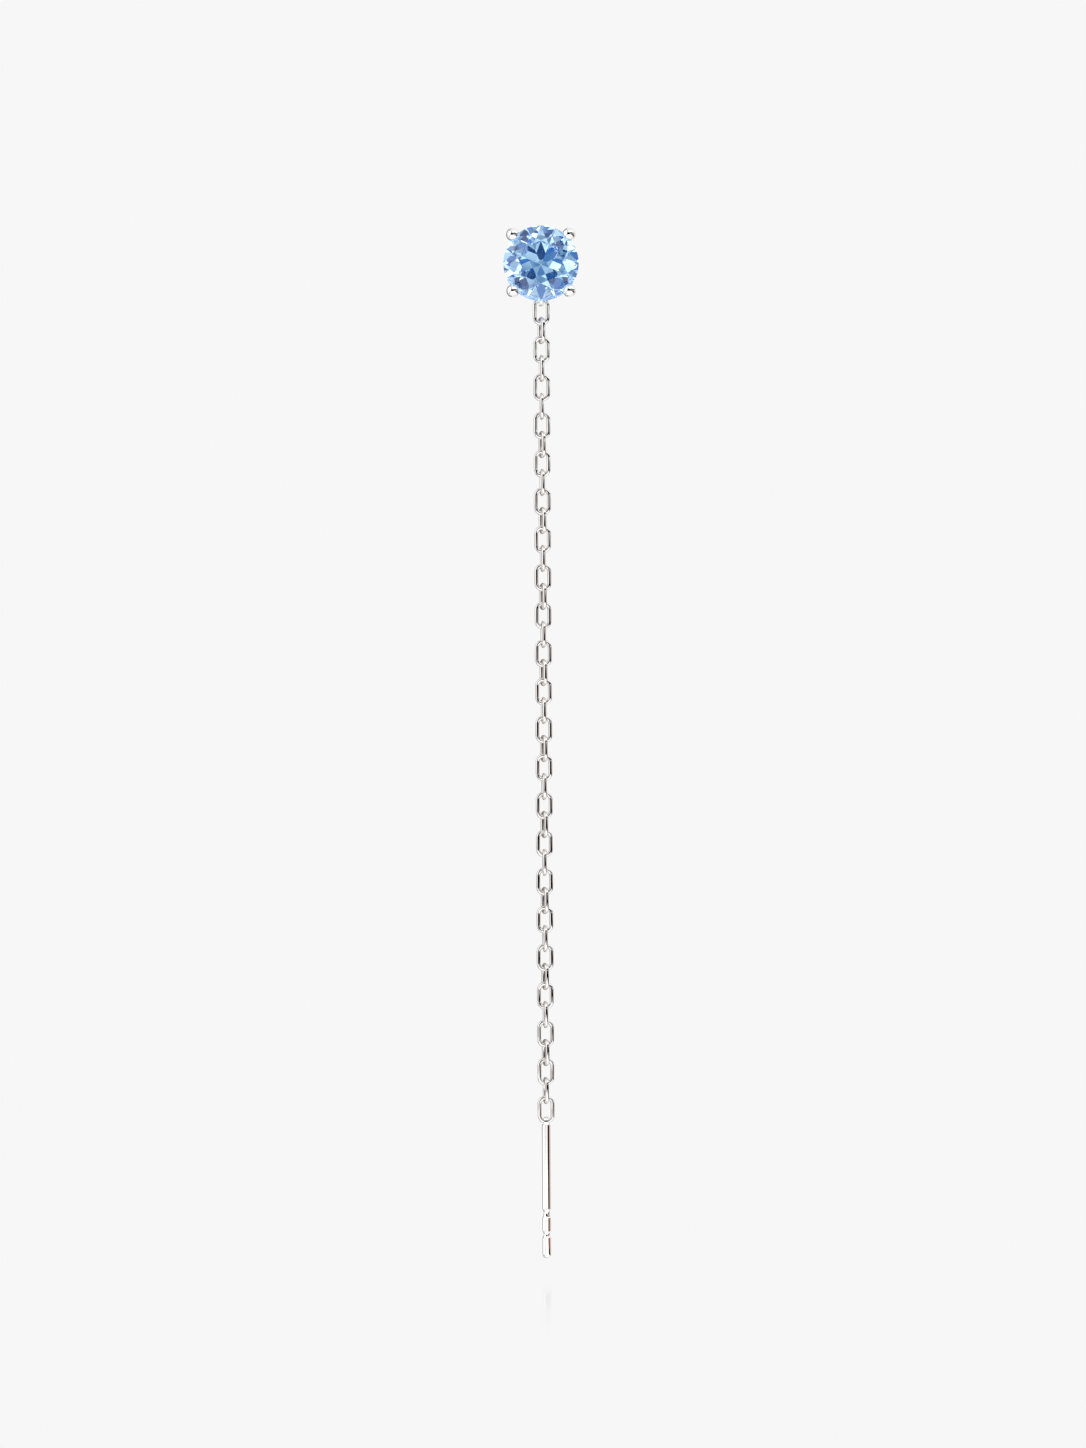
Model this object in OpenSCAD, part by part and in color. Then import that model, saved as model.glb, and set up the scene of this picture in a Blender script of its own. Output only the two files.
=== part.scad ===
// Threader earring: a round brilliant in a four-claw basket, a fine cable chain and a straight post.
// Millimetres. Z is up, the stone's table faces -Y, and the back of the setting lies in y = 0.
// The origin is the middle of the setting's back, where it rests on the ear lobe.

/* [Stone] */
// Girdle diameter of the round brilliant
stone_d = 6.0; // [4.5:0.1:8]
// Table width across its corners, as a share of the girdle diameter
table_share = 0.57; // [0.5:0.01:0.65]
// Slope of the crown's main facets above the girdle plane, in degrees
crown_angle = 34.5; // [30:0.5:38]
// Slope of the pavilion's main facets below the girdle plane, in degrees
pavilion_angle = 41; // [38:0.5:44]
// Reach of the star facets from the table's edge towards the girdle, as a share of that distance
star_share = 0.5; // [0.4:0.01:0.6]
// Reach of the lower half facets from the girdle towards the culet, as a share of the radius
lower_share = 0.6; // [0.5:0.01:0.85]
// Height of the girdle band at the corners of the main facets
girdle_t = 0.18; // [0.14:0.01:0.3]
// Width of the small flat that blunts the culet
culet_d = 0.1; // [0.06:0.01:0.3]

/* [Setting] */
// Depth of the culet in front of the setting's back
culet_depth = 0.45; // [0.3:0.05:1]
// Gap between the stone and the seats cut for it in the claws
seat_gap = 0.03; // [0.02:0.01:0.05]
// Thickness of the claw wire
claw_wire = 0.76; // [0.6:0.02:0.9]
// Diameter of the round claw tips
claw_tip_d = 1.06; // [0.9:0.02:1.3]
// How far the middle of a claw tip stands outside the girdle
claw_tip_out = 0.17; // [0.1:0.01:0.3]
// How far the middle of a claw tip stands in front of the girdle
claw_tip_rise = 0.34; // [0.2:0.02:0.5]
// Lean of the claws away from the stone's axis, in degrees
claw_lean = 27; // [20:0.5:28]
// Wire thickness of the base ring
base_wire = 0.62; // [0.5:0.02:0.7]
// Distance of the gallery rail's centre line in front of the setting's back
rail_depth = 1.7; // [1.4:0.05:2]
// Wire thickness of the gallery rail
rail_wire = 0.6; // [0.5:0.02:0.8]
// Wire thickness of the chain ring soldered under the rail
ring_wire = 0.38; // [0.3:0.02:0.5]
// Play of the first link's wire in the chain ring's hole
ring_play = 0.26; // [0.26:0.02:0.5]
// How far the chain ring's hole is sunk into the rail
ring_sink = 0.15; // [0.08:0.01:0.19]

/* [Chain] */
// Number of links
link_count = 43; // [5:1:57]
// Outer length of a link
link_len = 2.21; // [1.9:0.01:3]
// Outer width of a link
link_w = 1.36; // [1.32:0.02:1.8]
// Thickness of the link wire
link_wire = 0.32; // [0.24:0.01:0.34]
// Bend radius of a link's corners, to the middle of the wire
link_bend = 0.48; // [0.36:0.01:0.48]
// Gap between two pieces that hang in each other
hang_gap = 0.05; // [0.03:0.01:0.08]

/* [Post] */
// Diameter of the post
post_d = 0.7; // [0.6:0.02:0.9]
// Length of the post below its eye
post_len = 10.75; // [8:0.05:15]
// Width of the post's flat eye, along the wire that it hangs on
eye_width = 0.38; // [0.3:0.02:0.5]
// Thickness of the eye's wall round its hole
eye_wall = 0.2; // [0.18:0.01:0.3]
// Chamfer round the eye's two rims
eye_bevel = 0.04; // [0.02:0.01:0.08]
// Play of the last link's wire in the eye's hole
eye_play = 0.12; // [0.12:0.01:0.3]
// Gap between the last link's wire and the post's shoulder
shoulder_gap = 0.04; // [0.03:0.01:0.1]
// Chamfer round the post's shoulder
shoulder_bevel = 0.06; // [0.02:0.01:0.12]
// Heights of the two grooves' middles above the post's tip
groove_heights = [3.6, 1.92];
// Lengths of the two grooves
groove_lengths = [0.7, 0.52];
// Depth of the grooves
groove_depth = 0.1; // [0.05:0.01:0.14]

/* [Hidden] */
$fn = 64;

// Turn of each link about the chain's line away from a quarter turn, charted by hand in degrees:
// one list for the links seen face on and one for those seen edge on, from the top down.
face_turns = [0, -12, 0, 3, -12, 0, -12, 3, 10, 0, -12, 0, -12, 3, 10, 3, -12, 0, -12, 3, 10, 0];
edge_turns = [18, 7, 2, 17, 7, 17, 7, 17, 7, 18, 7, 17, 7, 17, 2, 18, 7, 17, 7, 17, 10];

// The stone, in its own frame: its axis is Z, its table is up and its girdle's lower corners are at 0.
stone_r = stone_d / 2;
table_r = table_share * stone_r;
half_step = 22.5;
quarter_step = 11.25;
table_edge = table_r * cos(half_step);
star_r = table_edge + star_share * (stone_r - table_edge);
crown_h = (stone_r - table_r) * tan(crown_angle);
star_h = (stone_r - star_r * cos(half_step)) * tan(crown_angle);
star_angle = atan((crown_h - star_h) / (star_r - table_edge));
upper_angle = atan(star_h / ((stone_r - star_r) * cos(quarter_step)));
lower_r = (1 - lower_share) * stone_r;
lower_h = (stone_r - lower_r * cos(half_step)) * tan(pavilion_angle);
lower_angle = atan(lower_h / ((stone_r - lower_r) * cos(quarter_step)));
pavilion_h = (stone_r - culet_d / 2) * tan(pavilion_angle);
table_h = girdle_t + crown_h;

// The setting: depths are counted forwards from its back, and radii from the stone's axis.
girdle_depth = culet_depth + pavilion_h;
base_depth = base_wire / 2;
claw_tip_r = stone_r + claw_tip_out;
claw_tip_depth = girdle_depth + girdle_t + claw_tip_rise;
base_r = claw_tip_r - (claw_tip_depth - base_depth) * tan(claw_lean);
rail_r = claw_tip_r - (claw_tip_depth - rail_depth) * tan(claw_lean);
rail_out = rail_r + rail_wire / 2;
ring_hole_r = (link_wire + ring_play) / 2;
ring_r = ring_hole_r + ring_wire / 2;
ring_drop = rail_out - ring_sink + ring_hole_r;

// The chain hangs at the rail's depth. A link's bars are the wires at its top and bottom.
chain_y = -rail_depth;
link_pitch = link_len - 2 * link_wire - hang_gap;
bar_reach = (link_len - link_wire) / 2;
side_reach = (link_w - link_wire) / 2;
first_bar_z = -(ring_drop + ring_hole_r - hang_gap - link_wire / 2);
last_bar_z = first_bar_z - 2 * bar_reach - (link_count - 1) * link_pitch;

// The post hangs from the last link's lower bar.
eye_hole_r = (link_wire + eye_play) / 2;
eye_out_r = eye_hole_r + eye_wall;
eye_z = last_bar_z + link_wire / 2 + hang_gap - eye_hole_r;
shoulder_z = last_bar_z - link_wire / 2 - shoulder_gap;
tip_z = shoulder_z - post_len;

function two_digits(i) = str(i < 10 ? "0" : "", i);
function link_name(i) = str("link_", two_digits(i));
function is_face_on(i) = i % 2 == 1;
function turn_at(turns, k) = k < len(turns) ? turns[k] : 0;
function link_turn(i) = is_face_on(i) ? turn_at(face_turns, (i - 1) / 2) : 90 + turn_at(edge_turns, i / 2 - 1);

// A bar whose section holds two opposite facets of the crown and two of the pavilion. Its planes pass
// through the given radii at the given heights, and a positive grow moves each outwards by that much.
module facet_bar(direction, crown, pavilion, grow) {
    top = crown[1] + crown[0] * tan(crown[2]) + grow / cos(crown[2]);
    bottom = pavilion[1] - pavilion[0] * tan(pavilion[2]) - grow / cos(pavilion[2]);
    corner_x = (top - bottom) / (tan(crown[2]) + tan(pavilion[2]));
    corner_z = top - corner_x * tan(crown[2]);
    rotate([90, 0, direction])
        linear_extrude(2 * stone_d, center = true)
            polygon([[0, top], [corner_x, corner_z], [0, bottom], [-corner_x, corner_z]]);
}

// The brilliant's whole form: what its round blank and all the pairs of facets have in common.
// Facets are given as [radius, height, slope]. A positive grow moves every surface outwards.
module brilliant(grow = 0) {
    mid_r = stone_r * cos(quarter_step);
    intersection() {
        translate([0, 0, -pavilion_h - grow])
            cylinder(h = pavilion_h + table_h + 2 * grow, r = stone_r + grow);
        intersection_for (k = [0 : 3])
            facet_bar(45 * k, [stone_r, girdle_t, crown_angle], [stone_r, 0, pavilion_angle], grow);
        intersection_for (k = [0 : 3])
            facet_bar(45 * k + half_step, [table_edge, table_h, star_angle], [stone_d, 0, pavilion_angle], grow);
        intersection_for (k = [0 : 7])
            facet_bar(half_step * k + quarter_step, [mid_r, girdle_t, upper_angle], [mid_r, 0, lower_angle], grow);
    }
}

// Takes a shape made round the Z axis to the setting's frame, facing forwards at the stone's place.
module at_girdle() {
    translate([0, -girdle_depth, 0])
        rotate([90, 0, 0])
            children();
}

// A wire ring round the setting's axis, at a depth in front of its back.
module wire_ring(radius, depth, thickness) {
    translate([0, 0, depth])
        rotate_extrude()
            translate([radius, 0])
                circle(d = thickness);
}

// One claw, in the plane of X: a straight wire that leans out from the base ring's centre line, through
// the rail's, to the middle of its round tip.
module claw() {
    translate([claw_tip_r, 0, claw_tip_depth])
        rotate([0, claw_lean + 180, 0]) {
            cylinder(h = (claw_tip_depth - base_depth) / cos(claw_lean), d = claw_wire);
            sphere(d = claw_tip_d);
        }
}

// The ring that the chain's first link hangs in. Its hole runs from side to side.
module chain_ring() {
    translate([0, -rail_depth, -ring_drop])
        rotate([0, 90, 0])
            rotate_extrude()
                translate([ring_r, 0])
                    circle(d = ring_wire);
}

module stone() {
    color("cornflowerblue")
        at_girdle()
            brilliant();
}

module setting() {
    color("silver")
        difference() {
            union() {
                rotate([90, 0, 0]) {
                    wire_ring(base_r, base_depth, base_wire);
                    wire_ring(rail_r, rail_depth, rail_wire);
                    for (direction = [45 : 90 : 315])
                        rotate([0, 0, direction])
                            claw();
                }
                chain_ring();
            }
            at_girdle()
                brilliant(seat_gap);
        }
}

// A quarter bend of link wire about Y, from the given start angle.
module link_corner(start) {
    rotate([90, 0, 0])
        rotate([0, 0, start])
            rotate_extrude(angle = 90)
                translate([link_bend, 0])
                    circle(d = link_wire);
}

// One link round the origin: four quarter bends joined by straight wire, in the XZ plane.
module link_form() {
    bend_x = side_reach - link_bend;
    bend_z = bar_reach - link_bend;
    for (corner = [[1, 1, 0], [-1, 1, 90], [-1, -1, 180], [1, -1, 270]])
        translate([corner[0] * bend_x, 0, corner[1] * bend_z])
            link_corner(corner[2]);
    for (side = [-1, 1]) {
        translate([side * side_reach, 0, -bend_z])
            cylinder(h = 2 * bend_z, d = link_wire);
        translate([-bend_x, 0, side * bar_reach])
            rotate([0, 90, 0])
                cylinder(h = 2 * bend_x, d = link_wire);
    }
}

module link(i) {
    color("silver")
        translate([0, chain_y, first_bar_z - bar_reach - (i - 1) * link_pitch])
            rotate([0, 0, link_turn(i)])
                link_form();
}

// A shallow round-bottomed groove round the post, at a height above its tip.
module groove(height, length) {
    hollow_r = (length * length / 4 + groove_depth * groove_depth) / (2 * groove_depth);
    translate([0, 0, height])
        rotate_extrude()
            translate([post_d / 2 - groove_depth + hollow_r, 0])
                circle(r = hollow_r);
}

// The straight wire, from its rounded tip at height 0 to its bevelled shoulder.
module post_rod() {
    difference() {
        union() {
            translate([0, 0, post_d / 2])
                sphere(d = post_d);
            translate([0, 0, post_d / 2])
                cylinder(h = post_len - post_d / 2 - shoulder_bevel, d = post_d);
            translate([0, 0, post_len - shoulder_bevel])
                cylinder(h = shoulder_bevel, d1 = post_d, d2 = post_d - 2 * shoulder_bevel);
        }
        for (k = [0 : len(groove_heights) - 1])
            groove(groove_heights[k], groove_lengths[k]);
    }
}

// The blank of the flat eye: a short disc round the Z axis, chamfered at both rims.
module eye_band() {
    rim_x = eye_out_r - eye_bevel;
    rim_y = eye_width / 2 - eye_bevel;
    rotate_extrude()
        polygon([[0, -eye_width / 2], [rim_x, -eye_width / 2], [eye_out_r, -rim_y],
                 [eye_out_r, rim_y], [rim_x, eye_width / 2], [0, eye_width / 2]]);
}

// The eye's hole lies square to the last link. It is drilled through the blank and the rod's shoulder.
module post() {
    color("silver")
        translate([0, chain_y, 0])
            rotate([0, 0, is_face_on(link_count) ? 0 : 90])
                difference() {
                    union() {
                        translate([0, 0, tip_z])
                            post_rod();
                        translate([0, 0, eye_z])
                            rotate([0, 90, 0])
                                eye_band();
                    }
                    translate([-post_d, 0, eye_z])
                        rotate([0, 90, 0])
                            cylinder(h = 2 * post_d, r = eye_hole_r);
                }
}

stone();
setting();
for (i = [1 : link_count])
    link(i);
post();
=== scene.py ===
# A threader earring, shown hanging in front of a pale studio sweep: a round blue stone in a
# four-claw basket, a fine cable chain under it, and a straight post at the chain's end.

import math

import bmesh
import bpy
from mathutils import Matrix, Vector


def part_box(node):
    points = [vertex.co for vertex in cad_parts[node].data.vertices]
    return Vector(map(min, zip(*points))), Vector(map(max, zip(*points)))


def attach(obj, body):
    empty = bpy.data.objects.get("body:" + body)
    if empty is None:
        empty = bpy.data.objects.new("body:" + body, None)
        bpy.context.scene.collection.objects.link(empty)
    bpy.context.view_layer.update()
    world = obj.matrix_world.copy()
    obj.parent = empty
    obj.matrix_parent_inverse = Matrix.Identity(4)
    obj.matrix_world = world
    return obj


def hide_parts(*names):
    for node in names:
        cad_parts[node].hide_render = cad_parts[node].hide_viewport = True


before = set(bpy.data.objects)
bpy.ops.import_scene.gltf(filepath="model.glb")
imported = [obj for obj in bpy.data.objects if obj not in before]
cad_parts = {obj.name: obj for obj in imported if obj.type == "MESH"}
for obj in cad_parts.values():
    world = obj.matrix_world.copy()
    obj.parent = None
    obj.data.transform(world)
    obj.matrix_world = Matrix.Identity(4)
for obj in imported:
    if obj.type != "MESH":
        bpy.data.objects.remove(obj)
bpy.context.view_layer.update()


# STONE
# A round brilliant of sky blue spinel, 6 mm across, cut with flat facets and polished like glass.
# It keeps the exact facets of its solid, and lies with its table facing forwards in the claws.

MM = 0.001
SPINEL_IOR = 1.72
SPINEL_BODY = "#3FB4F9"
SPINEL_DENSITY = 1 / (9 * MM)


def linear(hex_colour):
    """An sRGB hex colour as linear red, green, blue and alpha."""
    channels = [int(hex_colour[i:i + 2], 16) / 255 for i in (1, 3, 5)]
    return [c / 12.92 if c <= 0.04045 else ((c + 0.055) / 1.055) ** 2.4 for c in channels] + [1.0]


def add_node(tree, kind, settings=None, inputs=None, links=None):
    """Adds a node with its properties, its sockets' values and the output sockets that feed it. Sockets
    go by name or number."""
    node = tree.nodes.new(kind)
    for name, value in (settings or {}).items():
        setattr(node, name, value)
    for socket, value in (inputs or {}).items():
        node.inputs[socket].default_value = value
    for socket, source in (links or {}).items():
        tree.links.new(source, node.inputs[socket])
    return node


def new_material(name):
    """A material without nodes yet, and its node tree."""
    material = bpy.data.materials.new(name)
    material.use_nodes = True
    material.node_tree.nodes.clear()
    return material, material.node_tree


# Polished spinel: clear, with a blue body, so that short paths of light come out pale and the long
# paths through many facets come out royal blue.
spinel, tree = new_material("polished_sky_blue_spinel")
surface = add_node(tree, "ShaderNodeBsdfPrincipled", inputs={
    "Base Color": linear("#FFFFFF"), "Roughness": 0.0, "IOR": SPINEL_IOR, "Transmission Weight": 1.0})
body = add_node(tree, "ShaderNodeVolumeAbsorption", inputs={
    "Color": linear(SPINEL_BODY), "Density": SPINEL_DENSITY})
add_node(tree, "ShaderNodeOutputMaterial", links={
    "Surface": surface.outputs["BSDF"], "Volume": body.outputs["Volume"]})

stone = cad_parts["stone"]
stone.data.materials.clear()
stone.data.materials.append(spinel)


# SETTING
# A basket of polished silver wire: a base ring, a gallery rail, four claws that lean outwards and end
# in round beads over the girdle, and a small ring under the rail for the chain. Soldered into one piece.

BASE_WIRE = 0.62 * MM
RAIL_WIRE = 0.6 * MM
CLAW_WIRE = 0.76 * MM
CLAW_TIP = 1.06 * MM
CLAW_LEAN = math.radians(27)
CLAW_TIP_OUT = 0.17 * MM
CLAW_TIP_RISE = 0.34 * MM
CULET_DEPTH = 0.45 * MM
GIRDLE_HEIGHT = 0.18 * MM
RAIL_DEPTH = 1.7 * MM
RING_WIRE = 0.38 * MM
RING_HOLE = 0.58 * MM
RING_SINK = 0.15 * MM
SEAT_GAP = 0.03 * MM
PAVILION_SLOPE = math.radians(41)
CULET = 0.1 * MM
QUARTER_TURN = math.radians(90)

# How finely the round forms are divided.
BASKET_RING_SIDES = 128
BASKET_WIRE_SIDES = 32
CHAIN_RING_SIDES = 64
CHAIN_RING_WIRE_SIDES = 24
CLAW_SIDES = 48
CLAW_TIP_STEPS = 24
ON_AXIS = 1e-9
SAME_POINT = 0.001 * MM
SHARP_ANGLE = math.radians(35)

# The marks of real polishing are far finer. The ripple is drawn as coarse as it needs to show.
SILVER = "#F4F3F1"
RIPPLE_SIZE = 0.9 * MM
RIPPLE_DETAIL = 2.0
RIPPLE_RANGE = (0.3, 0.7)
RIPPLE_STRENGTH = 0.05
RIPPLE_DEPTH = 0.02 * MM
SILVER_ROUGHNESS = (0.02, 0.07)


def arc(centre, radius, start, end, steps):
    """Points (radius, height) along an arc of a profile, angles in degrees from the radius axis."""
    turns = [math.radians(start + (end - start) * k / steps) for k in range(steps + 1)]
    return [(centre[0] + radius * math.cos(t), centre[1] + radius * math.sin(t)) for t in turns]


def lathe(bm, profile, place, sides, closed=False):
    """Turns a profile of (radius, height) points about the Z axis of a place into one closed shell."""
    start = len(bm.faces)
    rings = []
    for radius, height in profile:
        count = 1 if radius < ON_AXIS else sides
        turns = [2 * math.pi * k / sides for k in range(count)]
        rings.append([bm.verts.new(place @ Vector((radius * math.cos(t), radius * math.sin(t), height)))
                      for t in turns])
    pairs = list(zip(rings, rings[1:] + rings[:1])) if closed else list(zip(rings, rings[1:]))
    for lower, upper in pairs:
        for k in range(sides):
            corners = [lower[k % len(lower)], lower[(k + 1) % len(lower)],
                       upper[(k + 1) % len(upper)], upper[k % len(upper)]]
            bm.faces.new(list(dict.fromkeys(corners)))
    bm.faces.ensure_lookup_table()
    bmesh.ops.recalc_face_normals(bm, faces=bm.faces[start:])


def wire_ring(bm, radius, wire, place, sides, wire_sides):
    """A closed ring of round wire about the Z axis of a place."""
    lathe(bm, arc((radius, 0), wire / 2, 0, 360, wire_sides)[:-1], place, sides, closed=True)


def new_piece(name, bm):
    """An object at the origin from a finished bmesh."""
    mesh = bpy.data.meshes.new(name)
    bm.to_mesh(mesh)
    bm.free()
    piece = bpy.data.objects.new(name, mesh)
    bpy.context.scene.collection.objects.link(piece)
    return piece


def cut_away(piece, cutter):
    """Fuses a piece's shells and takes the cutter's form out of them."""
    boolean = piece.modifiers.new("cut", "BOOLEAN")
    boolean.operation = "DIFFERENCE"
    boolean.solver = "EXACT"
    boolean.use_self = True
    boolean.object = cutter
    cut = bpy.data.meshes.new_from_object(piece.evaluated_get(bpy.context.evaluated_depsgraph_get()))
    piece.modifiers.remove(boolean)
    piece.data = cut
    bpy.data.objects.remove(cutter)


def polish(piece, material, sharp_angle=SHARP_ANGLE):
    """Gives a piece its material, smooth faces and crisp corners."""
    piece.data.materials.clear()
    piece.data.materials.append(material)
    piece.data.polygons.foreach_set("use_smooth", [True] * len(piece.data.polygons))
    piece.data.set_sharp_from_angle(angle=sharp_angle)


def polished_silver(name, colour):
    """Silver with a mirror polish. The polishing shows as a slow change of its gloss, and as a very
    faint ripple that bends the reflections."""
    material, tree = new_material(name)
    place_on_piece = add_node(tree, "ShaderNodeTexCoord")
    ripple = add_node(tree, "ShaderNodeTexNoise", inputs={"Scale": 1 / RIPPLE_SIZE, "Detail": RIPPLE_DETAIL},
                      links={"Vector": place_on_piece.outputs["Object"]})
    gloss = add_node(tree, "ShaderNodeMapRange", inputs={
        "From Min": RIPPLE_RANGE[0], "From Max": RIPPLE_RANGE[1],
        "To Min": SILVER_ROUGHNESS[0], "To Max": SILVER_ROUGHNESS[1]},
        links={"Value": ripple.outputs["Fac"]})
    bump = add_node(tree, "ShaderNodeBump", inputs={"Strength": RIPPLE_STRENGTH, "Distance": RIPPLE_DEPTH},
                    links={"Height": ripple.outputs["Fac"]})
    surface = add_node(tree, "ShaderNodeBsdfPrincipled", inputs={
        "Base Color": linear(colour), "Metallic": 1.0},
        links={"Roughness": gloss.outputs["Result"], "Normal": bump.outputs["Normal"]})
    add_node(tree, "ShaderNodeOutputMaterial", links={"Surface": surface.outputs["BSDF"]})
    return material


# Polished sterling silver: a bright, neutral mirror.
silver = polished_silver("polished_sterling_silver", SILVER)

stone_low, stone_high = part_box("stone")
stone_radius = (stone_high.x - stone_low.x) / 2
girdle_depth = CULET_DEPTH + (stone_radius - CULET / 2) * math.tan(PAVILION_SLOPE)
claw_tip_radius = stone_radius + CLAW_TIP_OUT
claw_tip_depth = girdle_depth + GIRDLE_HEIGHT + CLAW_TIP_RISE
claw_length = (claw_tip_depth - BASE_WIRE / 2) / math.cos(CLAW_LEAN)
base_radius = claw_tip_radius - (claw_tip_depth - BASE_WIRE / 2) * math.tan(CLAW_LEAN)
rail_radius = claw_tip_radius - (claw_tip_depth - RAIL_DEPTH) * math.tan(CLAW_LEAN)
ring_radius = (RING_HOLE + RING_WIRE) / 2
ring_drop = rail_radius + RAIL_WIRE / 2 - RING_SINK + RING_HOLE / 2

# In the basket's own frame Z runs forwards from its back. In the rings that stand edge on, the chain's
# ring and the post's eye, Z runs across.
forwards = Matrix.Rotation(QUARTER_TURN, 4, "X")
across = Matrix.Rotation(QUARTER_TURN, 4, "Y")
bm = bmesh.new()
wire_ring(bm, base_radius, BASE_WIRE, forwards @ Matrix.Translation((0, 0, BASE_WIRE / 2)),
          BASKET_RING_SIDES, BASKET_WIRE_SIDES)
wire_ring(bm, rail_radius, RAIL_WIRE, forwards @ Matrix.Translation((0, 0, RAIL_DEPTH)),
          BASKET_RING_SIDES, BASKET_WIRE_SIDES)
neck = math.degrees(math.acos(CLAW_WIRE / CLAW_TIP))
claw_profile = ([(0, 0), (CLAW_WIRE / 2, 0)]
                + arc((0, claw_length), CLAW_TIP / 2, -neck, 90, CLAW_TIP_STEPS)[:-1]
                + [(0, claw_length + CLAW_TIP / 2)])
for quarter in range(4):
    claw_foot = (Matrix.Rotation(math.radians(45 + 90 * quarter), 4, "Z")
                 @ Matrix.Translation((base_radius, 0, BASE_WIRE / 2))
                 @ Matrix.Rotation(CLAW_LEAN, 4, "Y"))
    lathe(bm, claw_profile, forwards @ claw_foot, CLAW_SIDES)
wire_ring(bm, ring_radius, RING_WIRE, Matrix.Translation((0, -RAIL_DEPTH, -ring_drop)) @ across,
          CHAIN_RING_SIDES, CHAIN_RING_WIRE_SIDES)
setting = new_piece("setting_metal", bm)

# The seats are cut with the stone's own form, grown by the seat gap.
bm = bmesh.new()
bm.from_mesh(stone.data)
bmesh.ops.remove_doubles(bm, verts=bm.verts, dist=SAME_POINT)
seat_centre = Matrix.Translation((0, -girdle_depth, 0))
bm.transform(seat_centre @ Matrix.Scale(1 + SEAT_GAP / stone_radius, 4) @ seat_centre.inverted())
cut_away(setting, new_piece("seat_cutter", bm))
polish(setting, silver)
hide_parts("setting")
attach(setting, "setting_and_chain")


# CHAIN
# Forty-three links of a fine cable chain, each bent from round silver wire to a rounded oblong and
# closed by solder. They hang in each other, face on and edge on by turns, and each lies a little askew.

LINK_LENGTH = 2.21 * MM
LINK_WIDTH = 1.36 * MM
LINK_WIRE = 0.32 * MM
LINK_BEND = 0.48 * MM
LINK_BEND_STEPS = 9
LINK_WIRE_SIDES = 20

# How far the face-on and the edge-on links are turned out of square, from the top down, in degrees.
FACE_TURNS = [0, -12, 0, 3, -12, 0, -12, 3, 10, 0, -12, 0, -12, 3, 10, 3, -12, 0, -12, 3, 10, 0]
EDGE_TURNS = [18, 7, 2, 17, 7, 17, 7, 17, 7, 18, 7, 17, 7, 17, 2, 18, 7, 17, 7, 17, 10]

# Silver wire with painted shade: the same mirror as the setting, but its colour is made a shade greyer, so
# that the chain looks darker.
SHADED_WIRE_SILVER = "#E2E0DE"
shaded_wire_silver = polished_silver("silver_wire_painted_greyer", SHADED_WIRE_SILVER)

link_names = sorted(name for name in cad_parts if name.startswith("link_"))
turns = [FACE_TURNS[k // 2] if k % 2 == 0 else 90 + EDGE_TURNS[k // 2] for k in range(len(link_names))]
link_places = [sum(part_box(name), Vector()) / 2 for name in link_names]

# One point for each link, with the turn of the link about the chain's line.
hangers = bpy.data.meshes.new("link_places")
hangers.from_pydata([place[:] for place in link_places], [], [])
hangers.attributes.new("turn", "FLOAT", "POINT").data.foreach_set("value", [math.radians(t) for t in turns])
chain_source = bpy.data.objects.new("chain_source", hangers)
bpy.context.scene.collection.objects.link(chain_source)

tree = bpy.data.node_groups.new("cable_chain", "GeometryNodeTree")
for name, kind in (("Geometry", "NodeSocketGeometry"), ("Link Length", "NodeSocketFloat"),
                   ("Link Width", "NodeSocketFloat"), ("Wire Thickness", "NodeSocketFloat"),
                   ("Bend Radius", "NodeSocketFloat"), ("Bend Steps", "NodeSocketInt"),
                   ("Wire Sides", "NodeSocketInt"), ("Metal", "NodeSocketMaterial")):
    tree.interface.new_socket(name, in_out="INPUT", socket_type=kind)
tree.interface.new_socket("Geometry", in_out="OUTPUT", socket_type="NodeSocketGeometry")
given = add_node(tree, "NodeGroupInput").outputs
inner_length = add_node(tree, "ShaderNodeMath", {"operation": "SUBTRACT"},
                        links={0: given["Link Length"], 1: given["Wire Thickness"]})
inner_width = add_node(tree, "ShaderNodeMath", {"operation": "SUBTRACT"},
                       links={0: given["Link Width"], 1: given["Wire Thickness"]})
wire_radius = add_node(tree, "ShaderNodeMath", {"operation": "MULTIPLY"}, {1: 0.5},
                       {0: given["Wire Thickness"]})
oblong = add_node(tree, "GeometryNodeCurvePrimitiveQuadrilateral",
                  links={"Width": inner_width.outputs[0], "Height": inner_length.outputs[0]})
rounded = add_node(tree, "GeometryNodeFilletCurve", {"mode": "POLY"}, {"Limit Radius": True},
                   {"Curve": oblong.outputs[0], "Radius": given["Bend Radius"], "Count": given["Bend Steps"]})
upright = add_node(tree, "GeometryNodeTransform", inputs={"Rotation": (QUARTER_TURN, 0, 0)},
                   links={"Geometry": rounded.outputs[0]})
section = add_node(tree, "GeometryNodeCurvePrimitiveCircle",
                   links={"Radius": wire_radius.outputs[0], "Resolution": given["Wire Sides"]})
bent_wire = add_node(tree, "GeometryNodeCurveToMesh",
                     links={"Curve": upright.outputs[0], "Profile Curve": section.outputs[0]})
turn = add_node(tree, "GeometryNodeInputNamedAttribute", {"data_type": "FLOAT"}, {"Name": "turn"})
turn_vector = add_node(tree, "ShaderNodeCombineXYZ", links={"Z": turn.outputs[0]})
hung = add_node(tree, "GeometryNodeInstanceOnPoints", links={
    "Points": given["Geometry"], "Instance": bent_wire.outputs[0], "Rotation": turn_vector.outputs[0]})
real_links = add_node(tree, "GeometryNodeRealizeInstances", links={"Geometry": hung.outputs[0]})
in_metal = add_node(tree, "GeometryNodeSetMaterial", links={
    "Geometry": real_links.outputs[0], "Material": given["Metal"]})
add_node(tree, "NodeGroupOutput", links={"Geometry": in_metal.outputs[0]})

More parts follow.
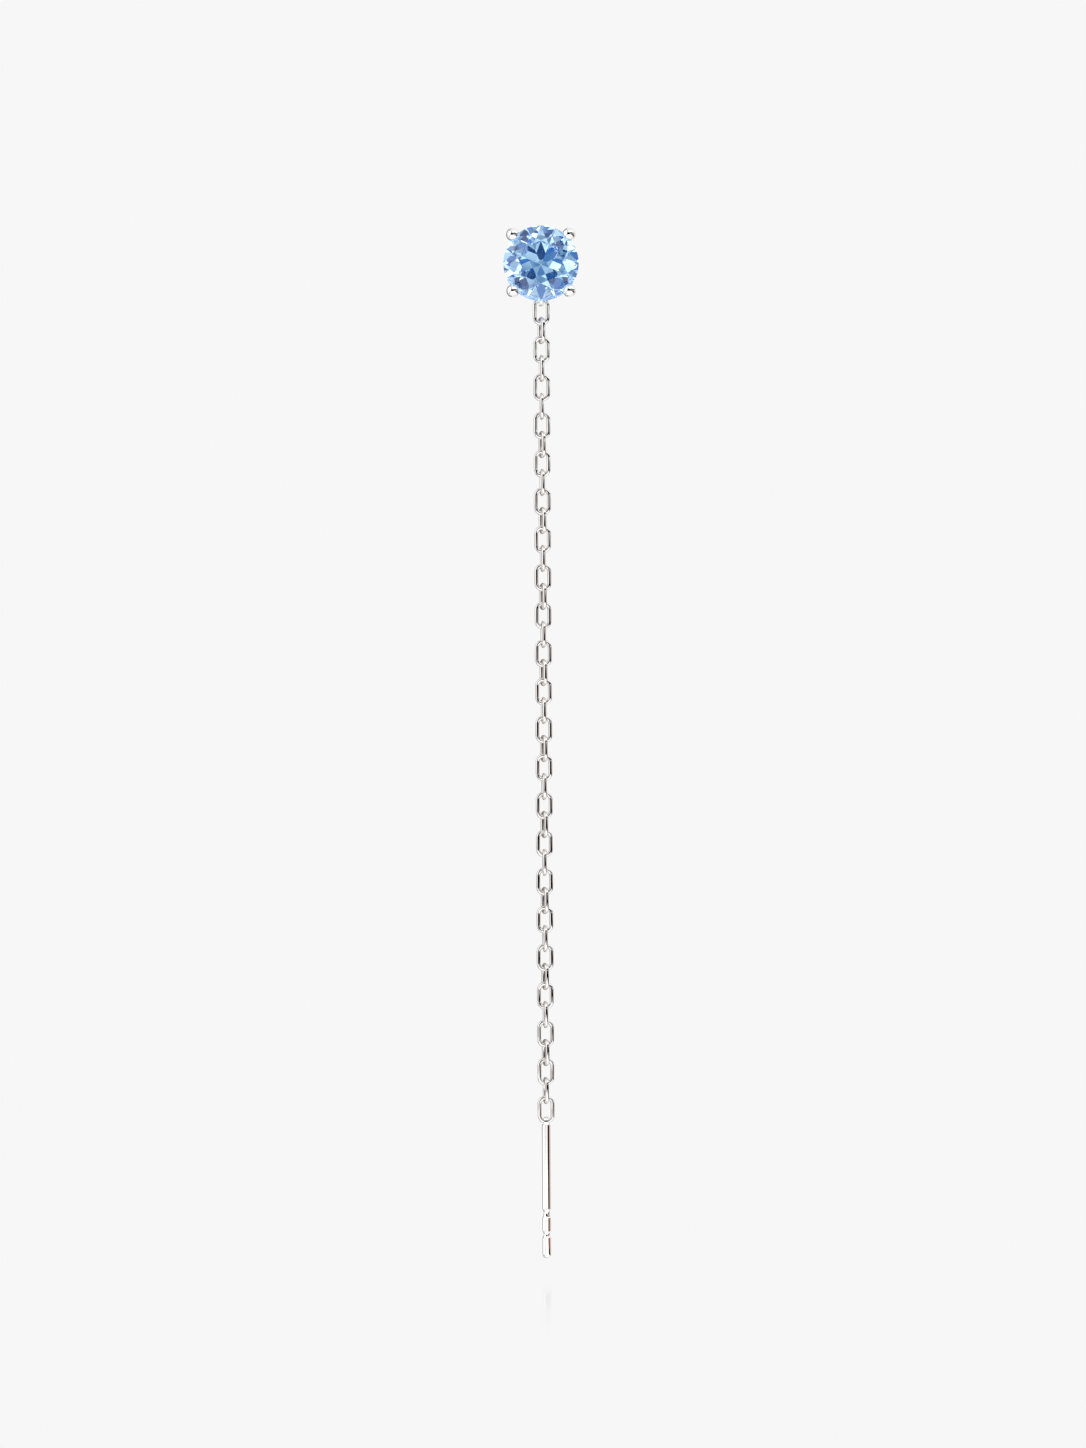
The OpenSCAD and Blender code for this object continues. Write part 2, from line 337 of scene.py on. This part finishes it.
linking = chain_source.modifiers.new("linking", "NODES")
linking.node_group = tree
sockets = {item.name: item.identifier for item in tree.interface.items_tree if item.in_out == "INPUT"}
for name, value in (("Link Length", LINK_LENGTH), ("Link Width", LINK_WIDTH),
                    ("Wire Thickness", LINK_WIRE), ("Bend Radius", LINK_BEND),
                    ("Bend Steps", LINK_BEND_STEPS), ("Wire Sides", LINK_WIRE_SIDES),
                    ("Metal", shaded_wire_silver)):
    linking[sockets[name]] = value
chain_mesh = bpy.data.meshes.new_from_object(
    chain_source.evaluated_get(bpy.context.evaluated_depsgraph_get()))
bpy.data.objects.remove(chain_source)
chain = bpy.data.objects.new("chain_links", chain_mesh)
bpy.context.scene.collection.objects.link(chain)
# The links take the greyer silver, whose colour is painted shade.
polish(chain, shaded_wire_silver)
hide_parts(*link_names)
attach(chain, "setting_and_chain")


# POST
# A straight rod of silver wire with a rounded tip and two shallow turned grooves for the ear nut. Its
# top is beaten to a small flat eye, which is drilled and hangs on the chain's last link.

POST_WIRE = 0.7 * MM
EYE_WIDTH = 0.38 * MM
EYE_WALL = 0.2 * MM
EYE_ROUNDING = 0.04 * MM
EYE_HOLE = 0.44 * MM
SHOULDER_BEVEL = 0.06 * MM
SHOULDER_BELOW_EYE = 0.19 * MM
GROOVE_HEIGHTS = [1.92 * MM, 3.6 * MM]
GROOVE_LENGTHS = [0.52 * MM, 0.7 * MM]
GROOVE_DEPTH = 0.1 * MM

ROD_SIDES = 64
ROD_ARC_STEPS = 16
EYE_SIDES = 96
EYE_ARC_STEPS = 6
DRILL_SIDES = 64
POST_SHARP_ANGLE = math.radians(25)

post_low, post_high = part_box("post")
post_radius = POST_WIRE / 2
eye_radius = EYE_HOLE / 2 + EYE_WALL
eye_height = post_high.z - post_low.z - eye_radius
shoulder_height = eye_height - SHOULDER_BELOW_EYE

rod_profile = [(0, 0)] + arc((0, post_radius), post_radius, -90, 0, ROD_ARC_STEPS)[1:]
for height, length in zip(GROOVE_HEIGHTS, GROOVE_LENGTHS):
    hollow = (length ** 2 / 4 + GROOVE_DEPTH ** 2) / (2 * GROOVE_DEPTH)
    half_angle = math.degrees(math.asin(length / 2 / hollow))
    rod_profile += arc((post_radius - GROOVE_DEPTH + hollow, height), hollow,
                       180 + half_angle, 180 - half_angle, ROD_ARC_STEPS)
rod_profile += [(post_radius, shoulder_height - SHOULDER_BEVEL),
                (post_radius - SHOULDER_BEVEL, shoulder_height), (0, shoulder_height)]

rim_radius = eye_radius - EYE_ROUNDING
rim_side = EYE_WIDTH / 2 - EYE_ROUNDING
eye_profile = ([(0, -EYE_WIDTH / 2)] + arc((rim_radius, -rim_side), EYE_ROUNDING, -90, 0, EYE_ARC_STEPS)
               + arc((rim_radius, rim_side), EYE_ROUNDING, 0, 90, EYE_ARC_STEPS) + [(0, EYE_WIDTH / 2)])
drill_profile = [(0, -POST_WIRE), (EYE_HOLE / 2, -POST_WIRE), (EYE_HOLE / 2, POST_WIRE), (0, POST_WIRE)]

post_axis = Vector((0, -RAIL_DEPTH, post_low.z))
eye_place = Matrix.Translation(post_axis + Vector((0, 0, eye_height))) @ across
bm = bmesh.new()
lathe(bm, rod_profile, Matrix.Translation(post_axis), ROD_SIDES)
lathe(bm, eye_profile, eye_place, EYE_SIDES)
post = new_piece("post_rod", bm)
bm = bmesh.new()
lathe(bm, drill_profile, eye_place, DRILL_SIDES)
cut_away(post, new_piece("eye_drill", bm))
polish(post, silver, POST_SHARP_ANGLE)
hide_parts("post")
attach(post, "post")


# STUDIO
# A white sweep with even light. Dark and bright cards stand round it, out of the picture, and draw the
# shades and glints on the metal and on the stone's surface. The floor mirrors the post's tip faintly.

BACKGROUND = "#F7F7F7"
FLOOR_HEIGHT = -80.65 * MM
FLOOR_SIZE = 2000 * MM
FLOOR_MIRROR = 0.2
FLOOR_ROUGHNESS = 0.12
MIRROR_FADES_FROM = 8 * MM
MIRROR_GONE_AT = 36 * MM

# The stone draws in a pattern of dark and bright panels, which is darker straight ahead of it and
# lighter in a ring round that. Angles are in degrees off straight ahead: where the change starts, and
# where it is full.
PATCHES_ACROSS = 11.0
PATCH_DETAIL = 1.0
PATTERN_SHIFT = (1.2, -14.79, -12.32)
PANEL_STRENGTH = 2.65
PANEL_TONES = [(0.36, "#132F4C"), (0.41, "#235482"), (0.45, "#546B78"), (0.5, "#748284"),
               (0.56, "#9CA8A2"), (0.61, "#C0CAC2"), (0.65, "#FFFDF8")]
LENS_ANGLES = (22, 12)
LENS_DARKER = -0.06
HALO_ANGLES = (24, 31)
HALO_LIGHTER = 0.07

world = bpy.data.worlds.new("white_sweep")
bpy.context.scene.world = world
world.use_nodes = True
tree = world.node_tree
tree.nodes.clear()
looking = add_node(tree, "ShaderNodeTexCoord")
shifted = add_node(tree, "ShaderNodeVectorMath", {"operation": "ADD"}, {1: PATTERN_SHIFT},
                   {0: looking.outputs["Generated"]})
patches = add_node(tree, "ShaderNodeTexNoise", inputs={"Scale": PATCHES_ACROSS, "Detail": PATCH_DETAIL},
                   links={"Vector": shifted.outputs["Vector"]})
forward = add_node(tree, "ShaderNodeSeparateXYZ", links={"Vector": looking.outputs["Generated"]})
toned = patches.outputs["Fac"]
for (start, full), change in ((LENS_ANGLES, LENS_DARKER), (HALO_ANGLES, HALO_LIGHTER)):
    zone = add_node(tree, "ShaderNodeMapRange", {"interpolation_type": "SMOOTHSTEP"}, {
        "From Min": -math.cos(math.radians(start)), "From Max": -math.cos(math.radians(full)),
        "To Max": change}, {"Value": forward.outputs["Y"]})
    toned = add_node(tree, "ShaderNodeMath", {"operation": "ADD"},
                     links={0: toned, 1: zone.outputs["Result"]}).outputs[0]
tones = add_node(tree, "ShaderNodeValToRGB", links={"Fac": toned})
for position, colour in PANEL_TONES:
    stop = tones.color_ramp.elements.new(position)
    stop.color = linear(colour)
# The two stops that a new ramp has go.
tones.color_ramp.elements.remove(tones.color_ramp.elements[0])
tones.color_ramp.elements.remove(tones.color_ramp.elements[-1])
panels = add_node(tree, "ShaderNodeBackground", inputs={"Strength": PANEL_STRENGTH},
                  links={"Color": tones.outputs["Color"]})
glow = add_node(tree, "ShaderNodeBackground", inputs={"Color": linear(BACKGROUND), "Strength": 1.0})
path = add_node(tree, "ShaderNodeLightPath")
both = add_node(tree, "ShaderNodeMixShader", links={
    "Fac": path.outputs["Is Transmission Ray"], 1: glow.outputs[0], 2: panels.outputs[0]})
add_node(tree, "ShaderNodeOutputWorld", links={"Surface": both.outputs[0]})

# The floor gives off the sweep's own tone. Where it is polished, round the post, it mirrors the tip.
sweep, tree = new_material("satin_white_acrylic")
tone = add_node(tree, "ShaderNodeEmission", inputs={"Color": linear(BACKGROUND), "Strength": 1.0})
sheen = add_node(tree, "ShaderNodeBsdfGlossy", inputs={
    "Color": linear("#FFFFFF"), "Roughness": FLOOR_ROUGHNESS})
floor_place = add_node(tree, "ShaderNodeTexCoord")
from_post = add_node(tree, "ShaderNodeVectorMath", {"operation": "DISTANCE"},
                     {1: (0, -RAIL_DEPTH, FLOOR_HEIGHT)}, {0: floor_place.outputs["Object"]})
mirror = add_node(tree, "ShaderNodeMapRange", inputs={
    "From Min": MIRROR_FADES_FROM, "From Max": MIRROR_GONE_AT, "To Min": FLOOR_MIRROR, "To Max": 0.0},
    links={"Value": from_post.outputs["Value"]})
blend = add_node(tree, "ShaderNodeMixShader", links={
    "Fac": mirror.outputs["Result"], 1: tone.outputs[0], 2: sheen.outputs[0]})
add_node(tree, "ShaderNodeOutputMaterial", links={"Surface": blend.outputs[0]})
bm = bmesh.new()
bmesh.ops.create_grid(bm, x_segments=1, y_segments=1, size=FLOOR_SIZE / 2,
                      matrix=Matrix.Translation((0, 0, FLOOR_HEIGHT)))
floor = new_piece("floor", bm)
floor.data.materials.append(sweep)
floor.visible_glossy = False
floor.visible_transmission = False

# The cards stand round the chain's middle at three distances. A nearer one hides a farther one.
CHAIN_MIDDLE = Vector((0, -RAIL_DEPTH, -37 * MM))
CARD_DISTANCE = 1000 * MM
NEARER = 0.9 * CARD_DISTANCE
FARTHER = 1.2 * CARD_DISTANCE
SOFTBOX_STRENGTH = 1.5


def add_card(name, colour, corners, distance=CARD_DISTANCE, strength=1.0):
    """A card round the earring. Its corners are directions, in degrees to the camera's right and up."""
    material, card_tree = new_material(name)
    light = add_node(card_tree, "ShaderNodeEmission", inputs={"Color": linear(colour), "Strength": strength})
    add_node(card_tree, "ShaderNodeOutputMaterial", links={"Surface": light.outputs[0]})
    card_bm = bmesh.new()
    verts = []
    for right, up in corners:
        direction = Matrix.Rotation(math.radians(right), 3, "Z") @ Matrix.Rotation(math.radians(-up), 3, "X")
        verts.append(card_bm.verts.new(CHAIN_MIDDLE + direction @ Vector((0, -distance, 0))))
    card_bm.faces.new(verts)
    bmesh.ops.triangulate(card_bm, faces=card_bm.faces)
    card = new_piece(name, card_bm)
    card.data.materials.append(material)
    card.visible_camera = False
    card.visible_transmission = False


# Three soft boxes, with the dark gaps between them and the lens in their middle.
add_card("left_softbox", "#FFFFFF", [(-100, 45), (-45, 50), (-42, 0), (-100, -22)],
         strength=SOFTBOX_STRENGTH)
add_card("top_softbox", "#FFFFFF", [(-18, 42), (10, 18), (80, 14), (95, 45), (0, 62)],
         strength=SOFTBOX_STRENGTH)
add_card("low_softbox", "#FFFFFF",
         [(-60, -30), (-26, -8), (20, -7.5), (38, -10), (60, -26), (60, -60), (-60, -60)],
         strength=SOFTBOX_STRENGTH)
add_card("lens_shade", "#080808", [(-28, 35), (-3, 12), (14, 6), (12, -5), (-40, -7.3)])
add_card("black_flag", "#0C0A0A",
         [(10, 6), (30, 2), (55, -2), (93, -4.5), (93, -11), (112, -14), (112, -26), (92, -26),
          (60, -18), (42, -10), (40, -7), (28, -5), (10, -5.5)])
add_card("grey_flag", "#A4A09E", [(30, 6), (95, 6), (95, -7), (55, -7), (30, 0)], FARTHER)
add_card("upper_gap", "#8A8684", [(-32, 35), (-26, 35), (-40, 62), (-55, 62)])
add_card("lower_gap", "#8A8684", [(-35, -6), (-41, -10), (-100, -40), (-103, -30)])
add_card("left_back_card", "#8C8A88", [(-118, 60), (-118, -60), (-165, -60), (-165, 60)])
add_card("right_back_card", "#E4D4CE", [(98, 5), (98, -13), (112, -13), (112, -30), (150, -30), (150, 5)])

# Flags above the chain's height, level with the chain and level with the post draw the lines on the
# beads and down the wires. The post's are brown.
add_card("bead_black_flag", "#0A0808",
         [(-20, 40), (-6, 27), (14, 25), (38, 23), (75, 15), (112, 9), (112, 7.2), (-4, 7.2), (-22, 14)],
         NEARER)
add_card("chain_left_flag", "#B4B4B4", [(-112, 6.5), (-112, -7.3), (-62, -7.3), (-62, 6.5)], NEARER)
add_card("post_black_flag", "#1C1A1A", [(39, -7.4), (39, -8.9), (72, -8.9), (72, -7.4)], NEARER)
add_card("post_dark_brown_flag", "#5E382A", [(72, -7.4), (72, -8.9), (86, -8.9), (86, -7.4)], NEARER)
add_card("post_brown_flag", "#8B4A33", [(39, -8.9), (39, -11), (86, -11), (86, -8.9)], NEARER)
add_card("post_pale_card", "#D8BEB4", [(86, -7.4), (86, -11), (104, -11), (104, -7.4)], NEARER)


# CAMERA
# Level with the middle of the chain, straight in front, and turned by a third of a degree.

LENS = 100
SENSOR = 36
NEAREST_SEEN = 1 * MM
FARTHEST_SEEN = 10000 * MM
PICTURE_HEIGHT = 115.84 * MM
PICTURE_CENTRE = Vector((-0.065 * MM, -RAIL_DEPTH, -36.7 * MM))
ROLL = math.radians(-0.344)

# How often light may bounce, among the stone's facets and between the metal's wires.
STONE_BOUNCES = 24
METAL_BOUNCES = 16

camera = bpy.data.objects.new("camera", bpy.data.cameras.new("camera"))
bpy.context.scene.collection.objects.link(camera)
bpy.context.scene.camera = camera
camera.data.lens = LENS
camera.data.sensor_width = SENSOR
camera.data.clip_start = NEAREST_SEEN
camera.data.clip_end = FARTHEST_SEEN
camera.location = PICTURE_CENTRE - Vector((0, PICTURE_HEIGHT * LENS / SENSOR, 0))
camera.rotation_euler = (Matrix.Rotation(QUARTER_TURN, 3, "X") @ Matrix.Rotation(ROLL, 3, "Z")).to_euler()
bpy.context.scene.view_settings.view_transform = "Standard"
bpy.context.scene.cycles.max_bounces = STONE_BOUNCES
bpy.context.scene.cycles.glossy_bounces = METAL_BOUNCES
bpy.context.scene.cycles.transmission_bounces = STONE_BOUNCES
